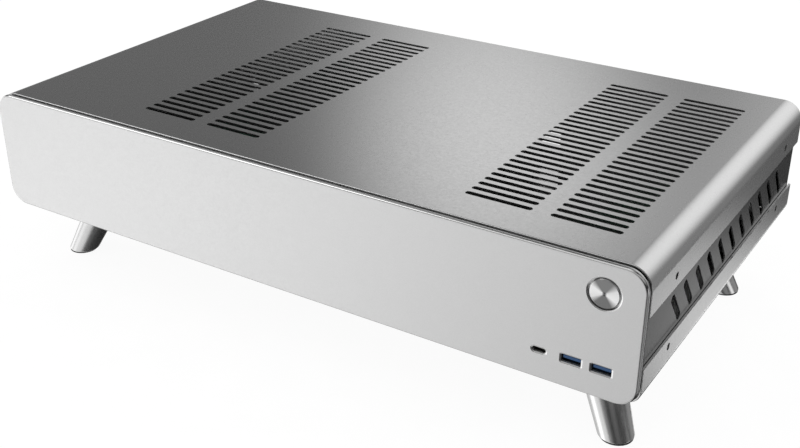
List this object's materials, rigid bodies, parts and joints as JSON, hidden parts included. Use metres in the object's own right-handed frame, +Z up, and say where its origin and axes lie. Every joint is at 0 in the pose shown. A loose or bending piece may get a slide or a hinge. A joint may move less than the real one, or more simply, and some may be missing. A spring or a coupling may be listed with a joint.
{
  "type": "desktop computer",
  "caption": "Low aluminium desktop computer on splayed conical feet, with a vented cover, slotted sides, front button and sockets, and its machine inside",
  "frame": {"origin": "on the floor plane under the four foot pads, at the centre of the case's width and depth", "axes": "+X to the right of a person facing the front panel, +Y from the front panel to the back, +Z up"},
  "size_m": [0.51, 0.2968, 0.1412],
  "materials": {
    "anodised_plate": "bead-blasted, clear anodised",
    "brushed_shell": "satin anodised sheet",
    "dark_steel": "fine satin powder coat",
    "turned_button": "face turned in fine rings",
    "polished_foot": "polished",
    "pad_rubber": "matt",
    "screw_black": "black oxide",
    "connector_shell": "plated",
    "blue_plastic": "moulded",
    "black_plastic": "moulded",
    "fan_plastic": "moulded",
    "circuit_board": "solder mask",
    "nickel_lid": "nickel plated",
    "bare_aluminium": "mill finish",
    "cable_sleeve": "woven sleeve"
  },
  "bodies": {
    "case": {"front_panel": "anodised_plate", "front_subframe": "dark_steel", "top_cover": "brushed_shell", "bottom_tray": "brushed_shell", "rear_panel": "dark_steel", "side_panel_left": "dark_steel", "side_panel_right": "dark_steel", "power_switch": "black_plastic", "front_io_board": "circuit_board", "usb_c_socket": "connector_shell", "usb_a_socket_1": "connector_shell", "usb_a_socket_2": "connector_shell", "usb_a_tongue_1": "blue_plastic", "usb_a_tongue_2": "blue_plastic", "motherboard": "circuit_board", "processor": "nickel_lid", "memory_socket_1": "black_plastic", "memory_module_1": "circuit_board", "memory_socket_2": "black_plastic", "memory_module_2": "circuit_board", "expansion_socket": "black_plastic", "storage_module": "black_plastic", "cooler_heatsink": "bare_aluminium", "cooler_fan_frame": "fan_plastic", "rear_port_block": "connector_shell", "io_shield": "connector_shell", "slot_cover": "dark_steel", "psu_case": "dark_steel", "psu_lid": "dark_steel", "psu_circuit_board": "circuit_board", "psu_fan_frame": "fan_plastic", "psu_inlet": "black_plastic", "drive_bracket": "bare_aluminium", "solid_state_drive": "black_plastic", "power_cable": "cable_sleeve", "front_panel_cable": "cable_sleeve", "foot_front_left": "polished_foot", "foot_pad_front_left": "pad_rubber", "foot_screw_front_left": "connector_shell", "foot_front_right": "polished_foot", "foot_pad_front_right": "pad_rubber", "foot_screw_front_right": "connector_shell", "foot_rear_left": "polished_foot", "foot_pad_rear_left": "pad_rubber", "foot_screw_rear_left": "connector_shell", "foot_rear_right": "polished_foot", "foot_pad_rear_right": "pad_rubber", "foot_screw_rear_right": "connector_shell", "side_screw_left_front_upper": "screw_black", "side_screw_left_front_lower": "screw_black", "side_screw_left_rear_upper": "screw_black", "side_screw_left_rear_lower": "screw_black", "side_screw_right_front_upper": "screw_black", "side_screw_right_front_lower": "screw_black", "side_screw_right_rear_upper": "screw_black", "side_screw_right_rear_lower": "screw_black"},
    "power_button": {"power_button": "turned_button"},
    "cooler_fan": {"cooler_fan_rotor": "fan_plastic"},
    "psu_fan": {"psu_fan_rotor": "fan_plastic"},
    "psu_rocker": {"psu_rocker_switch": "black_plastic"}
  },
  "joints": [
    {"name": "power_button_press", "type": "slide", "parent": "case", "child": "power_button", "axis": [0, 1, 0], "range_m": [0, 0.0012], "stiffness_N_per_m": 1200, "springref_m": -0.0008},
    {"name": "cooler_fan_spin", "type": "hinge", "parent": "case", "child": "cooler_fan", "pos_m": [-0.06, 0.05665, 0.108], "axis": [0, 0, 1], "continuous": true},
    {"name": "psu_fan_spin", "type": "hinge", "parent": "case", "child": "psu_fan", "pos_m": [0.1755, 0.09365, 0.113], "axis": [0, 0, 1], "continuous": true},
    {"name": "psu_rocker_tilt", "type": "hinge", "parent": "case", "child": "psu_rocker", "pos_m": [0.184, 0.14425, 0.087], "axis": [1, 0, 0], "range_deg": [0, 16]}
  ]
}
